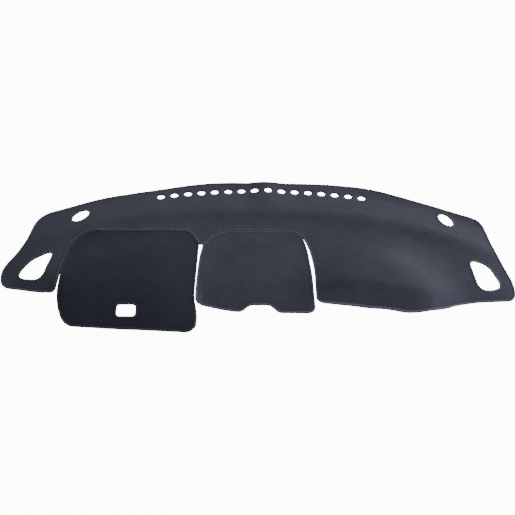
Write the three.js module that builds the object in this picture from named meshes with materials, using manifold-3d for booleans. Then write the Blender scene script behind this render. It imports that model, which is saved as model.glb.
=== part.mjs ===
// Dashboard cover mat, laid flat on its own moulded shape.
// Three panels of thick felt: a long main panel, an instrument flap and a centre flap, which hang from
// their top edges in one wide notch of the main panel. Every panel edge and every large hole is bound
// with folded tape. The vents along the back are punched and left unbound.
// Millimetres. X runs along the dashboard, +Y is towards the windscreen and +Z is up.

import * as THREE from "three";
import { mergeVertices } from "three/addons/utils/BufferGeometryUtils.js";
import Module from "manifold-3d";

const wasm = await Module();
wasm.setup();

// Cloth and tape
const FELT = 4; // thickness of the felt
const TAPE = 0.8; // thickness of the folded edge tape
const TAPE_WIDTH = 5.5; // reach of the tape from the finished edge over the felt
const FIT = 0.3; // clearance between felt and tape
const SEAM_GAP = 0.5; // clearance between two bound edges that are sewn together
const COVER = TAPE + FIT; // felt face to tape face, and felt edge to finished edge
const THICKNESS = FELT + 2 * COVER; // over the tape

// Moulded relief: a ledge that rises from the windscreen edge to a crease, a plateau in front of it,
// the hood over the instruments, the dome on the passenger side, and fronts that curl to the floor.
const BACK_MARGIN = 22; // flat strip along the windscreen edge
const BACK_CROWN_Y = 317; // windscreen edge at mid length
const CREASE_CROWN_Y = 184; // crease at mid length
const BACK_DROP = 66; // how far the windscreen edge falls back at DROP_AT
const CREASE_DROP = 60; // how far the crease falls back at DROP_AT
const DROP_AT = 450;
const DROP_POWER = 2.4;
const DROP_END = 1.55; // past this many times DROP_AT the lines run straight
const LEDGE_RISE = 21;
const STEP_DROP = 5.6; // fall from the crease to the plateau
const STEP_RUN = 44;
const HOOD_RISE = 21;
const HOOD_RUN = 100;
const HOOD_SETBACK = 60; // from the crease to the foot of the hood
const HOOD_LEFT_X = -690;
const HOOD_LEFT_RUN = 170;
const HOOD_RIGHT_X = -270;
const HOOD_RIGHT_RUN = 110;
const DOME_RISE = 39;
const DOME_X = 348;
const DOME_Y = -180;
const DOME_REACH_LEFT = 228;
const DOME_REACH_RIGHT = 202;
const DOME_REACH_BACK = 240;
const DOME_CROWN = 0.5; // share of the reach where the top starts to fall
const DOME_FALL = 0.54; // share of the reach over which it falls
const LEFT_END_X = -530; // where the left end starts to curl down
const LEFT_END_RUN = 182;
const RIGHT_END_X = 554;
const RIGHT_END_RUN = 176;
const RIDGE_RISE = 6.5; // small fold that stays in the windscreen edge
const RIDGE_X = 22;
const RIDGE_HALF_WIDTH = 60;
const RIDGE_START_Y = 190;
const RIDGE_RUN = 90;
const CURL_LIMIT = 1.12; // the curl is carried on to this share of its length, past the cut edge

// How far the ends of each rise or fall are rounded, as a share of its run
const LEDGE_ROUNDING = 0.15;
const STEP_ROUNDING = 0.4;
const HOOD_ROUNDING = 0.4;
const DOME_ROUNDING = 0.35;
const RIDGE_ROUNDING = 0.3;

// Stations along the mat: [x, where the front meets the floor, length of the curl behind it].
const STATIONS = [
  [-800, -112, 60],
  [-705, -112, 62],
  [-640, -122, 80],
  [-566, -160, 100],
  [-522, -245, 150],
  [-400, -256, 180],
  [-260, -262, 185],
  [-171, -262, 178],
  [-150, -189, 130],
  [-40, -190, 124],
  [65, -189, 122],
  [138, -184, 112],
  [182, -158, 62],
  [290, -164, 60],
  [385, -182, 62],
  [465, -191, 64],
  [530, -172, 66],
  [600, -146, 72],
  [690, -134, 70],
  [800, -128, 60],
];
const PLATEAU_ROWS = 4; // rows of facets between the step and the curl
const CURL_ROWS = [0.4, 0.75, CURL_LIMIT]; // shares of the curl where its facets end
const BACK_SPARE = 60; // the sheet goes on past the windscreen edge before it is cut
const CURVE_ERROR = 0.9; // widest gap between a curve and its chords
const LONGEST_TRIM = 0.48; // share of the straight between two corners that one of them may turn in
const CUTTER_LOW = -40;
const CUTTER_HIGH = 160;
const MERGE_WITHIN = 1e-4; // vertices closer than this are one

// Seams, left to right: the finished edge of each flap where it is sewn to the main panel.
// A corner is [x, y, trim]: the edge turns from trim before the corner to trim after it.
const INSTRUMENT_SEAM = [
  [-544, -70, 0],
  [-533, 42, 32],
  [-492, 96, 32],
  [-197, 98, 22],
  [-167, 46, 0],
];
const CENTRE_SEAM = [
  [-157.5, 46, 0],
  [-130, 84, 20],
  [-88, 103, 22],
  [98, 104, 20],
  [129, 82, 0],
];

// Free edges, from the right end of the seam round the front to its left end.
const INSTRUMENT_FREE = [
  [-169, -20, 30],
  [-172, -150, 24],
  [-163, -200, 24],
  [-166, -259, 36],
  [-390, -251, 60],
  [-519, -243, 28],
  [-546, -165, 40],
];
const CENTRE_FREE = [
  [142, 34, 30],
  [154, -60, 50],
  [160, -185, 26],
  [58, -187, 14],
  [38, -164, 14],
  [-20, -165, 14],
  [-42, -187, 14],
  [-86, -182, 24],
  [-170, -163, 15],
  [-169.5, -95, 30],
  [-166, -10, 20],
];

// The main panel, anticlockwise from the top of the slit beside the centre flap to the left slit.
const MAIN_EDGE = [
  [149, 28, 30],
  [160, -50, 50],
  [162, -151, 13],
  [300, -162, 60],
  [456, -191, 70],
  [584, -142, 50],
  [714, -133, 30],
  [716, -78, 28],
  [676, 46, 50],
  [657, 172, 34],
  [470, 250, 60],
  [330, 303, 60],
  [190, 317, 60],
  [-120, 318, 60],
  [-210, 304, 60],
  [-460, 246, 50],
  [-647, 167, 46],
  [-668, 36, 50],
  [-720, -45, 40],
  [-711, -111, 28],
  [-640, -120, 30],
  [-552, -138, 18],
  [-548, -110, 20],
];

// Holes
const VENT_COUNT = 16;
const VENT_PITCH = 40;
const VENT_RADIUS = 11.5;
const VENT_SIDES = 12;
const VENT_ROW_X = 9; // middle of the row
const VENT_CROWN_X = 30; // where the row lies nearest to the windscreen
const VENT_CROWN_Y = 280;
const VENT_ROW_RADIUS = 1600;
const SENSOR_WINDOW = { x: -353, y: -200, width: 51, depth: 33, corner: 10 };
const SPEAKER_HOLE_SIDES = 16;
const LEFT_SPEAKER = { x: -520, y: 161, long: 30, short: 19, turn: 57 };
const RIGHT_SPEAKER = { x: 551, y: 168, long: 31, short: 17.5, turn: 112 };
const LEFT_DEMISTER = [
  [-577, 18, 30],
  [-597, -94, 30],
  [-672, -80, 30],
  [-642, -20, 36],
];
const RIGHT_DEMISTER = [
  [598, 4, 24],
  [615, -108, 32],
  [682, -96, 32],
  [650, -13, 36],
];

// Finishes
const FELT_COLOUR = 0x3b3e49;
const TAPE_COLOUR = 0x25262b;
const FELT_ROUGHNESS = 0.95;
const TAPE_ROUGHNESS = 0.8;

// 0 up to t = 0, 1 from t = 1, straight between, with both ends rounded over rounding to each side.
function ramp(t, rounding) {
  const bend = (u) => {
    if (u < -rounding) return 0;
    if (u > rounding) return u;
    return (u + rounding) ** 2 / (4 * rounding);
  };
  return bend(t) - bend(t - 1);
}

function clamp01(t) {
  return Math.min(1, Math.max(0, t));
}

// How far a line across the mat has fallen back towards the front at x.
function fallBack(x, drop) {
  return drop * Math.min(Math.abs(x / DROP_AT), DROP_END) ** DROP_POWER;
}

// Where the flat strip ends and where the crease lies at x.
function ledgeAt(x) {
  return {
    flatLine: BACK_CROWN_Y - BACK_MARGIN - fallBack(x, BACK_DROP),
    crease: CREASE_CROWN_Y - fallBack(x, CREASE_DROP),
  };
}

// The front and the curl at x, between its two stations.
function frontAt(x) {
  const next = Math.max(1, STATIONS.findIndex((station) => station[0] >= x));
  const [x0, front0, curl0] = STATIONS[next - 1];
  const [x1, front1, curl1] = STATIONS[next];
  const share = (x - x0) / (x1 - x0);
  return {
    front: THREE.MathUtils.lerp(front0, front1, share),
    curl: THREE.MathUtils.lerp(curl0, curl1, share),
  };
}

// 1 on the plateau, and down a parabola to 0 at the end of the curl.
function curlDown(share) {
  return 1 - Math.min(CURL_LIMIT, Math.max(0, share)) ** 2;
}

// Height of the mat's underside over the floor.
function relief(x, y) {
  const { flatLine, crease } = ledgeAt(x);
  const { front, curl } = frontAt(x);
  const ledge = LEDGE_RISE * ramp((flatLine - y) / (flatLine - crease), LEDGE_ROUNDING);
  const step = STEP_DROP * ramp((crease - y) / STEP_RUN, STEP_ROUNDING);
  const hoodLeft = ramp((x - HOOD_LEFT_X) / HOOD_LEFT_RUN, HOOD_ROUNDING);
  const hoodRight = ramp((x - HOOD_RIGHT_X) / HOOD_RIGHT_RUN, HOOD_ROUNDING);
  const hoodDepth = ramp((crease - HOOD_SETBACK - y) / HOOD_RUN, HOOD_ROUNDING);
  const hood = HOOD_RISE * (hoodLeft - hoodRight) * hoodDepth;
  const reach = x > DOME_X ? DOME_REACH_RIGHT : DOME_REACH_LEFT;
  const away = Math.hypot((x - DOME_X) / reach, (y - DOME_Y) / DOME_REACH_BACK);
  const dome = DOME_RISE * (1 - ramp((away - DOME_CROWN) / DOME_FALL, DOME_ROUNDING));
  const frontCurl = curlDown((front + curl - y) / curl);
  const leftCurl = curlDown((LEFT_END_X - x) / LEFT_END_RUN);
  const rightCurl = curlDown((x - RIGHT_END_X) / RIGHT_END_RUN);
  const ridgeShape = clamp01(1 - ((x - RIDGE_X) / RIDGE_HALF_WIDTH) ** 2) ** 2;
  const ridge = RIDGE_RISE * ridgeShape * ramp((y - RIDGE_START_Y) / RIDGE_RUN, RIDGE_ROUNDING);
  return (ledge - step + hood + dome) * frontCurl * leftCurl * rightCurl + ridge;
}

// The points of an edge through corners [x, y, trim], each turned as a quadratic curve.
function edgeThrough(corners) {
  const points = [];
  corners.forEach(([x, y, trim], i) => {
    const corner = new THREE.Vector2(x, y);
    if (trim === 0) {
      points.push(corner);
      return;
    }
    const [beforeX, beforeY] = corners.at(i - 1);
    const [afterX, afterY] = corners[(i + 1) % corners.length];
    const before = new THREE.Vector2(beforeX, beforeY).sub(corner);
    const after = new THREE.Vector2(afterX, afterY).sub(corner);
    const fitted = Math.min(trim, LONGEST_TRIM * before.length(), LONGEST_TRIM * after.length());
    const start = corner.clone().add(before.setLength(fitted));
    const end = corner.clone().add(after.setLength(fitted));
    const bow = start.clone().add(end).addScaledVector(corner, -2).length();
    const steps = Math.max(1, Math.ceil(Math.sqrt(bow / (4 * CURVE_ERROR))));
    points.push(...new THREE.QuadraticBezierCurve(start, corner, end).getPoints(steps));
  });
  return points;
}

// The same edge moved to its left by distance, with its corners kept sharp.
function offsetLeft(points, distance, closed) {
  const last = points.length - 1;
  return points.map((point, i) => {
    const before = i > 0 || closed ? points.at(i - 1) : null;
    const after = i < last || closed ? points[(i + 1) % points.length] : null;
    const into = (before ? point.clone().sub(before) : after.clone().sub(point)).normalize();
    const out = (after ? after.clone().sub(point) : into).clone().normalize();
    const leftIn = new THREE.Vector2(-into.y, into.x);
    const leftOut = new THREE.Vector2(-out.y, out.x);
    const miter = leftIn.add(leftOut).normalize();
    return point.clone().addScaledVector(miter, distance / miter.dot(leftOut));
  });
}

// A closed edge moved into the cloth that it encloses.
function inset(points, distance) {
  return offsetLeft(points, THREE.ShapeUtils.isClockWise(points) ? -distance : distance, true);
}

function ellipse({ x, y, long, short, turn }) {
  const turned = THREE.MathUtils.degToRad(turn);
  const curve = new THREE.EllipseCurve(x, y, long, short, 0, 2 * Math.PI, false, turned);
  return curve.getPoints(SPEAKER_HOLE_SIDES).slice(1);
}

function roundedWindow({ x, y, width, depth, corner }) {
  const sides = [[-1, -1], [1, -1], [1, 1], [-1, 1]];
  return edgeThrough(sides.map(([sx, sy]) => [x + (sx * width) / 2, y + (sy * depth) / 2, corner]));
}

function asSolid(geometry) {
  geometry.deleteAttribute("normal");
  geometry.deleteAttribute("uv");
  const merged = mergeVertices(geometry, MERGE_WITHIN);
  return new wasm.Manifold(
    new wasm.Mesh({
      numProp: 3,
      vertProperties: new Float32Array(merged.attributes.position.array),
      triVerts: new Uint32Array(merged.index.array),
    }),
  );
}

// A tall upright block with the given outline, to cut a sheet with.
function cutter(outline) {
  const depth = CUTTER_HIGH - CUTTER_LOW;
  const block = new THREE.ExtrudeGeometry(new THREE.Shape(outline), { depth, bevelEnabled: false });
  block.translate(0, 0, CUTTER_LOW);
  return asSolid(block);
}

// The stretch of a sheet inside an outline and outside its holes.
function cutOut(whole, outline, holes = []) {
  return holes.reduce((cut, hole) => cut.subtract(cutter(hole)), whole.intersect(cutter(outline)));
}

// The rows of facets at x, from the front to the back: they follow the curl, the crease and the ledge.
function rowsAt(x) {
  const { flatLine, crease } = ledgeAt(x);
  const { front, curl } = frontAt(x);
  const curlStart = front + curl;
  const plateauEnd = crease - STEP_RUN;
  const inFront = CURL_ROWS.map((share) => curlStart - share * curl).reverse();
  const plateau = Array.from({ length: PLATEAU_ROWS + 1 }, (_, row) =>
    THREE.MathUtils.lerp(curlStart, plateauEnd, row / PLATEAU_ROWS),
  );
  return [...inFront, ...plateau, crease, flatLine, flatLine + BACK_SPARE];
}

// A sheet over the whole relief, between two heights above it. Both faces are split the same way, so
// that sheets at different heights stay parallel.
function sheet(low, high) {
  const grid = STATIONS.map(([x]) => rowsAt(x).map((y) => [x, y, relief(x, y)]));
  const columns = grid.length;
  const rows = grid[0].length;
  const places = [low, high].flatMap((lift) => grid.flat().flatMap(([x, y, z]) => [x, y, z + lift]));
  const under = (column, row) => column * rows + row;
  const over = (column, row) => columns * rows + under(column, row);
  const faces = [];
  const quad = (a, b, c, d) => faces.push(a, b, c, a, c, d);
  for (let i = 0; i < columns - 1; i++) {
    for (let j = 0; j < rows - 1; j++) {
      quad(over(i, j), over(i + 1, j), over(i + 1, j + 1), over(i, j + 1));
      quad(under(i + 1, j + 1), under(i + 1, j), under(i, j), under(i, j + 1));
    }
    quad(under(i, 0), under(i + 1, 0), over(i + 1, 0), over(i, 0));
    quad(under(i + 1, rows - 1), under(i, rows - 1), over(i, rows - 1), over(i + 1, rows - 1));
  }
  for (let j = 0; j < rows - 1; j++) {
    quad(under(0, j + 1), under(0, j), over(0, j), over(0, j + 1));
    quad(under(columns - 1, j), under(columns - 1, j + 1), over(columns - 1, j + 1), over(columns - 1, j));
  }
  const geometry = new THREE.BufferGeometry();
  geometry.setAttribute("position", new THREE.Float32BufferAttribute(places, 3));
  geometry.setIndex(faces);
  return asSolid(geometry);
}

function asMesh(name, solid, material) {
  const { numProp, vertProperties, triVerts } = solid.getMesh();
  const geometry = new THREE.BufferGeometry();
  geometry.setAttribute("position", new THREE.BufferAttribute(vertProperties, numProp));
  geometry.setIndex(new THREE.BufferAttribute(triVerts, 1));
  geometry.computeVertexNormals();
  const mesh = new THREE.Mesh(geometry, material.clone());
  mesh.name = name;
  return mesh;
}

const feltFinish = new THREE.MeshStandardMaterial({ color: FELT_COLOUR, roughness: FELT_ROUGHNESS });
const tapeFinish = new THREE.MeshStandardMaterial({ color: TAPE_COLOUR, roughness: TAPE_ROUGHNESS });
const feltSheet = sheet(COVER, COVER + FELT);
const feltClearance = sheet(TAPE, THICKNESS - TAPE);
const tapeSheet = sheet(0, THICKNESS);

// A felt panel: its finished edge and bound holes are drawn back by the tape, its vents are cut as drawn.
function feltPanel(name, edge, boundHoles = [], vents = []) {
  const holes = boundHoles.map((hole) => inset(hole, -COVER));
  return asMesh(name, cutOut(feltSheet, inset(edge, COVER), [...holes, ...vents]), feltFinish);
}

// Tape folded over an outside edge: a channel that opens towards the middle of the cloth.
function edgeBinding(name, edge) {
  const strip = cutOut(tapeSheet, edge, [inset(edge, TAPE_WIDTH)]);
  return asMesh(name, strip.subtract(cutOut(feltClearance, inset(edge, TAPE))), tapeFinish);
}

// Tape folded over the edge of a hole: a channel that opens away from the hole.
function holeBinding(name, hole) {
  const strip = cutOut(tapeSheet, inset(hole, -TAPE_WIDTH), [hole]);
  const felt = cutOut(feltClearance, inset(hole, -TAPE_WIDTH - COVER), [inset(hole, -TAPE)]);
  return asMesh(name, strip.subtract(felt), tapeFinish);
}

function ventOutline(index) {
  const x = VENT_ROW_X + (index - (VENT_COUNT - 1) / 2) * VENT_PITCH;
  const y = VENT_CROWN_Y - (x - VENT_CROWN_X) ** 2 / (2 * VENT_ROW_RADIUS);
  const curve = new THREE.EllipseCurve(x, y, VENT_RADIUS, VENT_RADIUS);
  return curve.getPoints(VENT_SIDES).slice(1);
}

const instrumentSeam = edgeThrough(INSTRUMENT_SEAM);
const centreSeam = edgeThrough(CENTRE_SEAM);
const instrumentEdge = edgeThrough([...INSTRUMENT_SEAM, ...INSTRUMENT_FREE]);
const centreEdge = edgeThrough([...CENTRE_SEAM, ...CENTRE_FREE]);
const mainFree = edgeThrough([CENTRE_SEAM.at(-1), ...MAIN_EDGE, INSTRUMENT_SEAM[0]]).slice(1, -1);
const mainEdge = [
  ...mainFree,
  ...offsetLeft(instrumentSeam, SEAM_GAP),
  ...offsetLeft(centreSeam, SEAM_GAP),
];

const holeBindings = {
  left_speaker_hole_binding: ellipse(LEFT_SPEAKER),
  right_speaker_hole_binding: ellipse(RIGHT_SPEAKER),
  left_demister_hole_binding: edgeThrough(LEFT_DEMISTER),
  right_demister_hole_binding: edgeThrough(RIGHT_DEMISTER),
};
const sensorWindow = roundedWindow(SENSOR_WINDOW);
const vents = Array.from({ length: VENT_COUNT }, (_, index) => ventOutline(index));

const mat = new THREE.Group();
mat.name = "dashboard_cover_mat";
mat.add(feltPanel("main_panel", mainEdge, Object.values(holeBindings), vents));
mat.add(feltPanel("instrument_flap", instrumentEdge, [sensorWindow]));
mat.add(feltPanel("centre_flap", centreEdge));
mat.add(edgeBinding("main_panel_binding", mainEdge));
mat.add(edgeBinding("instrument_flap_binding", instrumentEdge));
mat.add(edgeBinding("centre_flap_binding", centreEdge));
mat.add(holeBinding("sensor_window_binding", sensorWindow));
for (const [name, hole] of Object.entries(holeBindings)) mat.add(holeBinding(name, hole));

// The origin is the middle of the floor under the mat.
const bounds = new THREE.Box3().setFromObject(mat);
const middle = bounds.getCenter(new THREE.Vector3());
mat.position.set(-middle.x, -middle.y, -bounds.min.z);

export default mat;
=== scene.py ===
"""Looks of a dashboard cover mat: moulded felt panels with bound edges, laid on a pale floor.

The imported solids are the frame. Every felt panel and every binding is rebuilt here as a fine mesh on
the same relief, with the same edges, and stands for its solid. The thread and the sealed rims of the
vents are drawn only here. Sizes are in millimetres, as in the part's source, and meshes in metres.
"""

import logging
import math
from dataclasses import dataclass, field
from enum import Enum

import bpy
import numpy as np
from mathutils import Matrix
from mathutils.geometry import delaunay_2d_cdt

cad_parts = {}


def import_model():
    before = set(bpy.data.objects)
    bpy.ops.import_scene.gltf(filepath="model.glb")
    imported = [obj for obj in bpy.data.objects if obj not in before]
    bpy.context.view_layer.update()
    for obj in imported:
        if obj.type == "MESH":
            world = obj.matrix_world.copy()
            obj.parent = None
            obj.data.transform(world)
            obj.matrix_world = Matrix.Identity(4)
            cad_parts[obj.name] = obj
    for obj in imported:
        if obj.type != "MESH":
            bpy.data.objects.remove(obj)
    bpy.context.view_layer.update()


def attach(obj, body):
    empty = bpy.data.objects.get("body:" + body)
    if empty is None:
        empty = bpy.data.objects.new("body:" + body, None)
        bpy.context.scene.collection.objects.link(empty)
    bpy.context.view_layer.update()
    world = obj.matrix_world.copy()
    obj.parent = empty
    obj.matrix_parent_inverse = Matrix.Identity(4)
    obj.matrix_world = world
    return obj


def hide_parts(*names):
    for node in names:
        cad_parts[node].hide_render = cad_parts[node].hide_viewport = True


LOG = logging.getLogger("cover_mat")
MM = 0.001
Colour = tuple[float, float, float]
Corner = tuple[float, float, float]
Array = np.ndarray
Piece = bpy.types.Object
Material = bpy.types.Material
Socket = bpy.types.NodeSocket
Tree = bpy.types.NodeTree

# Types of socket of the node groups
NUMBER = "NodeSocketFloat"
GEOMETRY = "NodeSocketGeometry"
FINISH = "NodeSocketMaterial"

# The solids' group was moved by this much, so that its origin is the middle of the floor under it.
FRAME_SHIFT = (0.560, -29.936, 1.660)

# Cloth and tape, as in the solids
FELT = 4.0
TAPE = 0.8
TAPE_WIDTH = 5.5
FIT = 0.3
COVER = TAPE + FIT
SEAM_GAP = 0.5
LONGEST_TRIM = 0.48
LEAST_MITER = 0.35
MERGE_DISTANCE = 1e-5
EDGE_STEP = 3.0
WINDOW_STEP = 2.0
DEMISTER_STEP = 2.5
PRESS_DEPTH = 1.0

# Seams and free edges. A corner is (x, y, trim): the edge turns over trim on both sides of it.
INSTRUMENT_SEAM = [(-544, -70, 0), (-533, 42, 32), (-492, 96, 32), (-197, 98, 22), (-167, 46, 0)]
CENTRE_SEAM = [(-157.5, 46, 0), (-130, 84, 20), (-88, 103, 22), (98, 104, 20), (129, 82, 0)]
INSTRUMENT_FREE = [
    (-169, -20, 30), (-172, -150, 24), (-163, -200, 24), (-166, -259, 36),
    (-390, -251, 60), (-519, -243, 28), (-546, -165, 40),
]
CENTRE_FREE = [
    (142, 34, 30), (154, -60, 50), (160, -185, 26), (58, -187, 14), (38, -164, 14), (-20, -165, 14),
    (-42, -187, 14), (-86, -182, 24), (-170, -163, 15), (-169.5, -95, 30), (-166, -10, 20),
]
MAIN_FREE = [
    (149, 28, 30), (160, -50, 50), (162, -151, 13), (300, -162, 60), (456, -191, 70), (584, -142, 50),
    (714, -133, 30), (716, -78, 28), (676, 46, 50), (657, 172, 34), (470, 250, 60), (330, 303, 60),
    (190, 317, 60), (-120, 318, 60), (-210, 304, 60), (-460, 246, 50), (-647, 167, 46), (-668, 36, 50),
    (-720, -45, 40), (-711, -111, 28), (-640, -120, 30), (-552, -138, 18), (-548, -110, 20),
]
SENSOR_WINDOW = [(-378.5, -216.5, 10), (-327.5, -216.5, 10), (-327.5, -183.5, 10), (-378.5, -183.5, 10)]
LEFT_DEMISTER = [(-577, 18, 30), (-597, -94, 30), (-672, -80, 30), (-642, -20, 36)]
RIGHT_DEMISTER = [(598, 4, 24), (615, -108, 32), (682, -96, 32), (650, -13, 36)]

# Speaker holes: middle, half axes and turn of each ellipse
LEFT_SPEAKER = (-520, 161, 30, 19, 57)
RIGHT_SPEAKER = (551, 168, 31, 17.5, 112)
SPEAKER_SIDES = 72

VENT_COUNT = 16
VENT_PITCH = 40.0
VENT_RADIUS = 11.5
VENT_SIDES = 32
VENT_ROW_X = 9.0
VENT_CROWN = (30.0, 280.0)
VENT_ROW_RADIUS = 1600.0

# Painted shade: darker copies of the felt and the tape for the instrument flap and the sensor window,
# with a weaker painted highlight on that tape's crest.
SHADED_FELT: Colour = (0.0212, 0.0224, 0.0345)
SHADED_TAPE: Colour = (0.03, 0.032, 0.042)
SHADED_CREST = 1.25
THREAD_GREY: Colour = (0.05, 0.054, 0.074)
SEAL_BLACK: Colour = (0.012, 0.012, 0.015)
WHITE = (1.0, 1.0, 1.0, 1.0)


@dataclass(frozen=True)
class Relief:
    """The moulded shape of the mat, as a height over the floor at each place."""

    back_flat_y: float = 295.0
    crease_y: float = 184.0
    back_drop: float = 66.0
    crease_drop: float = 60.0
    drop_at: float = 450.0
    drop_power: float = 2.4
    drop_end: float = 1.55
    ledge_rise: float = 21.0
    step_drop: float = 5.6
    step_run: float = 44.0
    hood_rise: float = 21.0
    hood_run: float = 100.0
    hood_setback: float = 60.0
    hood_left: tuple[float, float] = (-690.0, 170.0)
    hood_right: tuple[float, float] = (-270.0, 110.0)
    dome_rise: float = 39.0
    dome_at: tuple[float, float] = (348.0, -180.0)
    dome_reach: tuple[float, float, float] = (228.0, 202.0, 240.0)
    dome_crown: float = 0.5
    dome_fall: float = 0.54
    left_end: tuple[float, float] = (-530.0, 182.0)
    right_end: tuple[float, float] = (554.0, 176.0)
    curl_limit: float = 1.12
    ridge_rise: float = 6.5
    ridge_x: float = 22.0
    ridge_half_width: float = 60.0
    ridge_start_y: float = 190.0
    ridge_run: float = 90.0
    sharp_rounding: float = 0.15
    soft_rounding: float = 0.4
    dome_rounding: float = 0.35
    ridge_rounding: float = 0.3
    floor_below: float = 0.1
    floor_blend: float = 0.04
    slope_reach: float = 2.0
    wave_height: float = 0.35
    wave_length: tuple[float, float] = (31.0, 26.0)
    wave_drift: tuple[float, float] = (1.7, 0.9)
    drift_length: tuple[float, float] = (57.0, 71.0)
    ripple_height: float = 0.16
    ripple_length: tuple[float, float] = (11.3, 9.7)
    ripple_start: tuple[float, float] = (2.1, 0.6)
    stations: tuple[Corner, ...] = (
        (-800, -112, 60), (-705, -112, 62), (-640, -122, 80), (-566, -160, 100), (-522, -245, 150),
        (-400, -256, 180), (-260, -262, 185), (-171, -262, 178), (-150, -189, 130), (-40, -190, 124),
        (65, -189, 122), (138, -184, 112), (182, -158, 62), (290, -164, 60), (385, -182, 62),
        (465, -191, 64), (530, -172, 66), (600, -146, 72), (690, -134, 70), (800, -128, 60),
    )

    @staticmethod
    def ramp(t: Array, rounding: float) -> Array:
        """Rises from 0 to 1 as t does, with both ends rounded over rounding to each side."""

        def bend(u: Array) -> Array:
            """Straight from 0 up, with a rounded foot."""
            foot = (u + rounding) ** 2 / (4 * rounding)
            return np.where(u < -rounding, 0.0, np.where(u > rounding, u, foot))

        return bend(t) - bend(t - 1)

    def fall_back(self, x: Array, drop: float) -> Array:
        """How far a line across the mat has fallen back towards the front at x."""
        return drop * np.minimum(np.abs(x / self.drop_at), self.drop_end) ** self.drop_power

    def along_stations(self, x: Array, column: int) -> Array:
        """One column of the stations at x, joined by a smooth curve that never overshoots.

        Args:
            x: Places along the mat.
            column: 1 for the front, 2 for the length of the curl.

        Returns:
            The value at each x.
        """
        places = np.array([station[0] for station in self.stations], float)
        values = np.array([station[column] for station in self.stations], float)
        runs = np.diff(places)
        slopes = np.diff(values) / runs
        tangents = np.zeros(len(places))
        same_way = slopes[:-1] * slopes[1:] > 0
        before = 2 * runs[1:] + runs[:-1]
        after = runs[1:] + 2 * runs[:-1]
        steep_before = np.where(same_way, slopes[:-1], 1)
        steep_after = np.where(same_way, slopes[1:], 1)
        blend = (before + after) / (before / steep_before + after / steep_after)
        tangents[1:-1] = np.where(same_way, blend, 0.0)
        i = np.clip(np.searchsorted(places, x) - 1, 0, len(runs) - 1)
        t = (x - places[i]) / runs[i]
        stay = (1 + 2 * t) * (1 - t) ** 2 * values[i] + t**2 * (3 - 2 * t) * values[i + 1]
        turn = t * (1 - t) ** 2 * tangents[i] + t**2 * (t - 1) * tangents[i + 1]
        return stay + turn * runs[i]

    def height(self, x: Array, y: Array) -> Array:
        """Height of the mat's underside over the floor.

        Args:
            x: Places along the mat.
            y: Places towards the windscreen.

        Returns:
            The height at each place.
        """
        flat_line = self.back_flat_y - self.fall_back(x, self.back_drop)
        crease = self.crease_y - self.fall_back(x, self.crease_drop)
        front = self.along_stations(x, 1)
        curl = self.along_stations(x, 2)
        soft = self.soft_rounding
        ledge_share = (flat_line - y) / (flat_line - crease)
        ledge = self.ledge_rise * self.ramp(ledge_share, self.sharp_rounding)
        step = self.step_drop * self.ramp((crease - y) / self.step_run, soft)
        sides = (self.hood_left, self.hood_right)
        hood_sides = [self.ramp((x - start) / run, soft) for start, run in sides]
        hood_depth = self.ramp((crease - self.hood_setback - y) / self.hood_run, soft)
        hood = self.hood_rise * (hood_sides[0] - hood_sides[1]) * hood_depth
        reach_left, reach_right, reach_back = self.dome_reach
        reach = np.where(x > self.dome_at[0], reach_right, reach_left)
        away = np.hypot((x - self.dome_at[0]) / reach, (y - self.dome_at[1]) / reach_back)
        dome_share = (away - self.dome_crown) / self.dome_fall
        dome = self.dome_rise * (1 - self.ramp(dome_share, self.dome_rounding))

        def curl_down(share: Array) -> Array:
            """1 on the plateau, and down a parabola to 0 at the end of the curl."""
            return 1 - np.clip(share, 0, self.curl_limit) ** 2

        ends = curl_down((self.left_end[0] - x) / self.left_end[1])
        ends = ends * curl_down((x - self.right_end[0]) / self.right_end[1])
        ridge_width = np.clip(1 - ((x - self.ridge_x) / self.ridge_half_width) ** 2, 0, 1) ** 2
        ridge = self.ridge_rise * ridge_width
        ridge = ridge * self.ramp((y - self.ridge_start_y) / self.ridge_run, self.ridge_rounding)
        return (ledge - step + hood + dome) * curl_down((front + curl - y) / curl) * ends + ridge

    def surface(self, points: Array) -> tuple[Array, Array]:
        """Points on the underside, kept off the floor and slightly uneven, and their outward normals."""
        x, y = points[:, 0], points[:, 1]
        reach = self.slope_reach
        z = self.uneven(x, y)
        slope_x = (self.uneven(x + reach, y) - self.uneven(x - reach, y)) / (2 * reach)
        slope_y = (self.uneven(x, y + reach) - self.uneven(x, y - reach)) / (2 * reach)
        normals = np.stack([-slope_x, -slope_y, np.ones_like(slope_x)], axis=-1)
        normals /= np.linalg.norm(normals, axis=-1, keepdims=True)
        return np.stack([x, y, z], axis=-1), normals

    def uneven(self, x: Array, y: Array) -> Array:
        """The height with the slight waves of real felt, and with no place sunk into the floor."""
        drift_x = self.wave_drift[0] * np.sin(y / self.drift_length[0])
        drift_y = self.wave_drift[1] * np.sin(x / self.drift_length[1])
        waves = self.wave_height * np.sin(x / self.wave_length[0] + drift_x)
        waves = waves * np.sin(y / self.wave_length[1] + drift_y)
        ripple = self.ripple_height * np.sin(x / self.ripple_length[0] + self.ripple_start[0])
        ripple = ripple * np.sin(y / self.ripple_length[1] + self.ripple_start[1])
        z = self.height(x, y) + (waves + ripple)
        low = -FRAME_SHIFT[2] - self.floor_below
        return low + 0.5 * ((z - low) + np.sqrt((z - low) ** 2 + self.floor_blend))


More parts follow.
